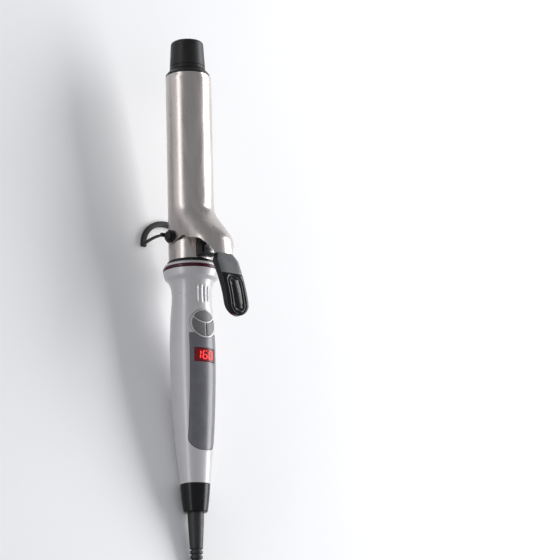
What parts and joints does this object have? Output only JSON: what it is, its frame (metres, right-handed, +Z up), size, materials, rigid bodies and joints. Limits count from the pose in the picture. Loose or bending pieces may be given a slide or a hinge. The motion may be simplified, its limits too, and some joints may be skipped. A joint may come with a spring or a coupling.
{
  "type": "curling iron",
  "caption": "Curling iron with a sprung clamp and thumb lever, fold-out stand, swivel cord, and a handle with display and buttons, lying on its stand.",
  "frame": {"origin": "middle of the iron's box, on the table that it lies on", "axes": "+X from the handle to the tip, +Z up from the table; the iron's own axis is tilted 6.5 degrees up towards the tip"},
  "size_m": [0.6138, 0.0604, 0.0807],
  "materials": {
    "barrel_metal": "satin warm silver",
    "heat_plastic": "matte black heat-resistant plastic",
    "gloss_black": "glossy black plastic",
    "pearl_white": "pearl white plastic",
    "red_trim": "dark red glossy plastic",
    "panel_grey": "dark grey satin plastic",
    "button_grey": "mid grey satin plastic",
    "display_red": "dark red display window",
    "stand_black": "black coated metal",
    "spring_steel": "bright steel",
    "circuit_board": "green circuit board",
    "ceramic": "white ceramic",
    "aluminium": "plain aluminium",
    "cord_black": "black cord jacket",
    "plug_brass": "bright plug blades"
  },
  "bodies": {
    "root": {"barrel_tube": "barrel_metal", "tip_flange": "heat_plastic", "tip_cap": "heat_plastic", "heater_core": "ceramic", "heat_spreader_upper": "aluminium", "heat_spreader_lower": "aluminium", "temperature_sensor": "ceramic", "thermal_fuse": "spring_steel", "heater_lead_left": "cord_black", "heater_lead_right": "cord_black", "barrel_mount": "heat_plastic", "red_ring": "red_trim", "rim_ring": "pearl_white", "heat_ring": "heat_plastic", "spring_housing": "heat_plastic", "clamp_spring": "spring_steel", "hinge_rivet_left": "stand_black", "hinge_rivet_right": "stand_black", "handle_upper": "pearl_white", "handle_lower": "pearl_white", "handle_screw_rear": "spring_steel", "handle_screw_front": "spring_steel", "end_cap": "gloss_black", "control_panel": "panel_grey", "display_window": "display_red", "display_module": "heat_plastic", "button_bezel": "pearl_white", "power_switch": "heat_plastic", "plus_switch": "heat_plastic", "minus_switch": "heat_plastic", "control_board": "circuit_board", "power_module": "heat_plastic", "cord": "cord_black", "cord_hank": "cord_black", "cord_tie": "cord_black", "plug_body": "cord_black", "plug_blade_left": "plug_brass", "plug_blade_right": "plug_brass"},
    "clamp": {"clamp": "barrel_metal", "lever_lining": "heat_plastic", "thumb_pad": "gloss_black"},
    "stand": {"stand": "stand_black"},
    "cord_swivel": {"swivel_bushing": "heat_plastic", "cord_guard": "cord_black"},
    "power_button": {"power_button": "button_grey"},
    "plus_button": {"plus_button": "button_grey"},
    "minus_button": {"minus_button": "button_grey"}
  },
  "joints": [
    {"name": "clamp_hinge", "type": "hinge", "parent": "root", "child": "clamp", "pos_m": [0.04215, 0, 0.03081], "axis": [0, -1, 0], "range_deg": [0, 22], "stiffness_Nm_per_rad": 0.6, "springref_deg": -28.65, "deforming": ["clamp_spring"]},
    {"name": "stand_hinge", "type": "hinge", "parent": "root", "child": "stand", "pos_m": [0.04215, 0, 0.03081], "axis": [0, 1, 0], "range_deg": [0, 74]},
    {"name": "cord_swivel_turn", "type": "hinge", "parent": "root", "child": "cord_swivel", "pos_m": [-0.15491, 0, 0.00867], "axis": [0.9937, 0, 0.1117], "continuous": true},
    {"name": "power_button_press", "type": "slide", "parent": "root", "child": "power_button", "axis": [0.1117, 0, -0.9937], "range_m": [0, 0.0008], "stiffness_N_per_m": 600, "springref_m": -0.0004},
    {"name": "plus_button_press", "type": "slide", "parent": "root", "child": "plus_button", "axis": [0.1117, 0, -0.9937], "range_m": [0, 0.0008], "stiffness_N_per_m": 600, "springref_m": -0.0004},
    {"name": "minus_button_press", "type": "slide", "parent": "root", "child": "minus_button", "axis": [0.1117, 0, -0.9937], "range_m": [0, 0.0008], "stiffness_N_per_m": 600, "springref_m": -0.0004}
  ]
}
